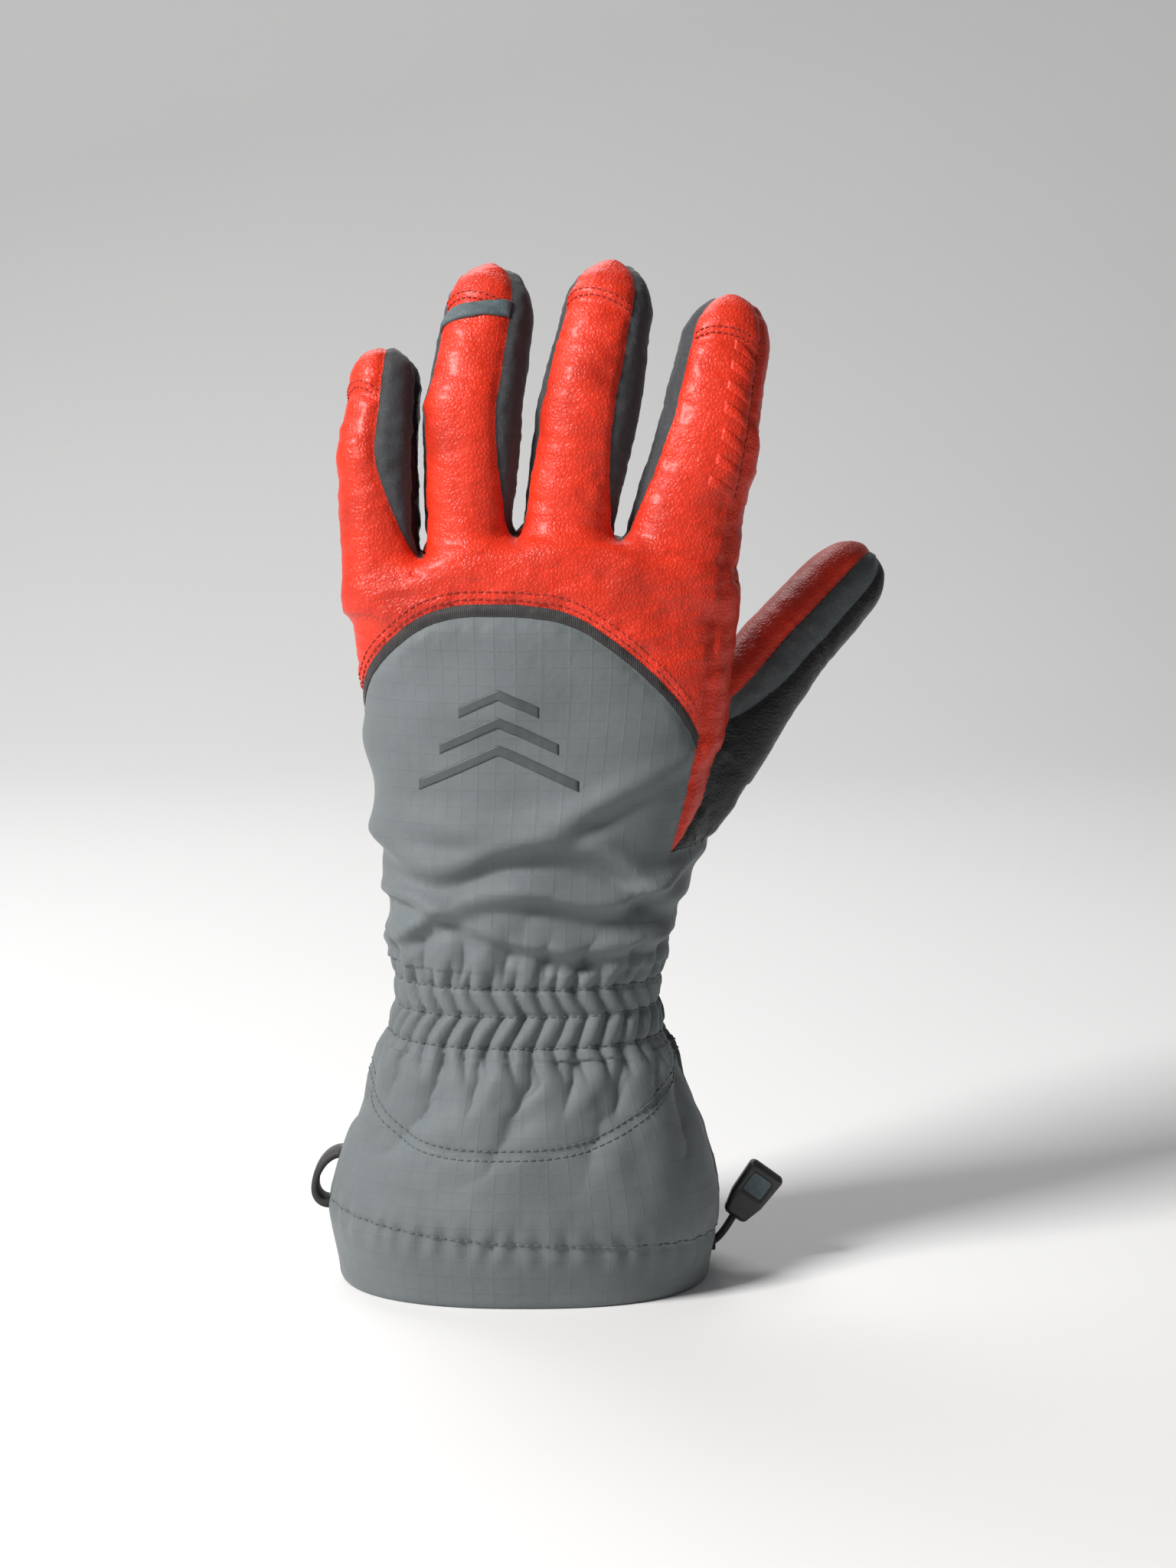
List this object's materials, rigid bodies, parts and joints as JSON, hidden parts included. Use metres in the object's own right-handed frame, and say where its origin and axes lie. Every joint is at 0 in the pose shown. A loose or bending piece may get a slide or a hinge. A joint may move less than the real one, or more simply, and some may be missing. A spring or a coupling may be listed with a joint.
{
  "type": "ski glove",
  "caption": "Left gauntlet ski glove with leather back and palm, woven back panel, gathered elastic wrist, hem drawcord with a moulded pull, and bending fingers and thumb.",
  "frame": {"origin": "centre of the hand opening, on the plane of the hem's lower edge, which the glove stands on", "axes": "+Z from the hem to the fingertips, -Y is the back of the hand, +X is the thumb side"},
  "size_m": [0.1797, 0.0984, 0.3123],
  "materials": {
    "leather_red": "fine-grained goat leather with soft creases",
    "leather_black": "matt grained goat leather",
    "ripstop_grey": "woven ripstop shell fabric with a slight sheen",
    "gauntlet_black": "matt woven fabric",
    "softshell_dark": "matt stretch softshell",
    "softshell_grey": "matt stretch softshell",
    "binding_black": "narrow folded binding tape",
    "fleece": "brushed fleece bonded to a membrane",
    "insulation": "polyester wadding",
    "elastic": "woven elastic tape",
    "cord": "braided elastic cord",
    "webbing": "woven tape",
    "plastic_black": "moulded, fine satin",
    "band_grey": "grey printed tape"
  },
  "bodies": {
    "cuff": {"hem_band": "ripstop_grey", "gauntlet_back": "ripstop_grey", "gauntlet_front": "gauntlet_black", "gauntlet_inset": "ripstop_grey", "cuff_lining": "fleece", "wrist_gather": "ripstop_grey", "wrist_elastic": "elastic", "hem_cord": "cord", "cord_eyelet": "plastic_black", "hang_loop": "webbing"},
    "cord": {"cord_tail": "cord"},
    "pull": {"pull_tab": "plastic_black"},
    "hand": {"back_panel": "ripstop_grey", "back_binding": "binding_black", "knuckle_leather": "leather_red", "side_panel": "leather_red", "palm_leather": "leather_black", "web_gussets": "softshell_dark", "hand_insulation": "insulation", "hand_lining": "fleece"},
    "little_base": {"little_base_back": "leather_red", "little_base_sides": "softshell_dark", "little_base_palm": "leather_black", "little_base_lining": "fleece"},
    "little_tip": {"little_tip_back": "leather_red", "little_tip_cap": "leather_red", "little_tip_sides": "softshell_dark", "little_tip_palm": "leather_black"},
    "ring_base": {"ring_base_back": "leather_red", "ring_base_sides": "softshell_dark", "ring_base_palm": "leather_black", "ring_base_lining": "fleece"},
    "ring_tip": {"ring_tip_back": "leather_red", "ring_tip_cap": "leather_red", "ring_tip_sides": "softshell_dark", "ring_tip_palm": "leather_black", "ring_band": "band_grey"},
    "middle_base": {"middle_base_back": "leather_red", "middle_base_sides": "softshell_dark", "middle_base_palm": "leather_black", "middle_base_lining": "fleece"},
    "middle_tip": {"middle_tip_back": "leather_red", "middle_tip_cap": "leather_red", "middle_tip_sides": "softshell_dark", "middle_tip_palm": "leather_black"},
    "index_base": {"index_base_back": "leather_red", "index_base_sides": "softshell_dark", "index_base_palm": "leather_black", "index_base_lining": "fleece"},
    "index_tip": {"index_tip_back": "leather_red", "index_tip_cap": "leather_red", "index_tip_sides": "softshell_dark", "index_tip_palm": "leather_black"},
    "thumb_base": {"thumb_base_back": "leather_red", "thumb_base_strip": "softshell_grey", "thumb_base_palm": "leather_black"},
    "thumb_tip": {"thumb_tip_back": "leather_red", "thumb_tip_strip": "softshell_grey", "thumb_tip_palm": "leather_black"}
  },
  "joints": [
    {"name": "wrist_bend", "type": "hinge", "parent": "cuff", "child": "hand", "pos_m": [0.001, 0, 0.086], "axis": [-1, 0, 0], "range_deg": [-30, 30], "stiffness_Nm_per_rad": 2, "deforming": ["wrist_gather", "wrist_elastic"]},
    {"name": "little_knuckle", "type": "hinge", "parent": "hand", "child": "little_base", "pos_m": [-0.04293, 0.00398, 0.2192], "axis": [-0.9994, 0, -0.0349], "range_deg": [-8, 60], "stiffness_Nm_per_rad": 0.12},
    {"name": "little_bend", "type": "hinge", "parent": "little_base", "child": "little_tip", "pos_m": [-0.0442, 0.00683, 0.25267], "axis": [-0.9995, 0, 0.0314], "range_deg": [0, 75], "stiffness_Nm_per_rad": 0.08},
    {"name": "ring_knuckle", "type": "hinge", "parent": "hand", "child": "ring_base", "pos_m": [-0.01656, 0.00398, 0.22852], "axis": [-0.999, 0, 0.0436], "range_deg": [-8, 60], "stiffness_Nm_per_rad": 0.12},
    {"name": "ring_bend", "type": "hinge", "parent": "ring_base", "child": "ring_tip", "pos_m": [-0.01496, 0.00726, 0.26722], "axis": [-0.995, 0, 0.1002], "range_deg": [0, 75], "stiffness_Nm_per_rad": 0.08},
    {"name": "middle_knuckle", "type": "hinge", "parent": "hand", "child": "middle_base", "pos_m": [0.0134, 0.00398, 0.2316], "axis": [-0.9848, 0, 0.1736], "range_deg": [-8, 60], "stiffness_Nm_per_rad": 0.12},
    {"name": "middle_bend", "type": "hinge", "parent": "middle_base", "child": "middle_tip", "pos_m": [0.02018, 0.00732, 0.27019], "axis": [-0.9816, 0, 0.1908], "range_deg": [0, 75], "stiffness_Nm_per_rad": 0.08},
    {"name": "index_knuckle", "type": "hinge", "parent": "hand", "child": "index_base", "pos_m": [0.04782, 0.00398, 0.22528], "axis": [-0.9744, 0, 0.225], "range_deg": [-8, 60], "stiffness_Nm_per_rad": 0.12},
    {"name": "index_bend", "type": "hinge", "parent": "index_base", "child": "index_tip", "pos_m": [0.05623, 0.00718, 0.26166], "axis": [-0.9763, 0, 0.2164], "range_deg": [0, 75], "stiffness_Nm_per_rad": 0.08},
    {"name": "thumb_root", "type": "hinge", "parent": "hand", "child": "thumb_base", "pos_m": [0.05735, 0.02092, 0.16436], "axis": [-0.766, 0, 0.6428], "range_deg": [-12, 35], "stiffness_Nm_per_rad": 0.2},
    {"name": "thumb_bend", "type": "hinge", "parent": "thumb_base", "child": "thumb_tip", "pos_m": [0.08056, 0.03197, 0.19212], "axis": [-0.7373, 0, 0.6756], "range_deg": [0, 55], "stiffness_Nm_per_rad": 0.08},
    {"name": "cord_swing", "type": "hinge", "parent": "cuff", "child": "cord", "pos_m": [0.06097, 0.003, 0.008], "axis": [0, 1, 0], "range_deg": [0, 75], "stiffness_Nm_per_rad": 0.004},
    {"name": "pull_swing", "type": "hinge", "parent": "cord", "child": "pull", "pos_m": [0.06506, 0.003, 0.01602], "axis": [-0.809, 0, 0.5878], "range_deg": [-40, 40], "stiffness_Nm_per_rad": 0.002}
  ]
}
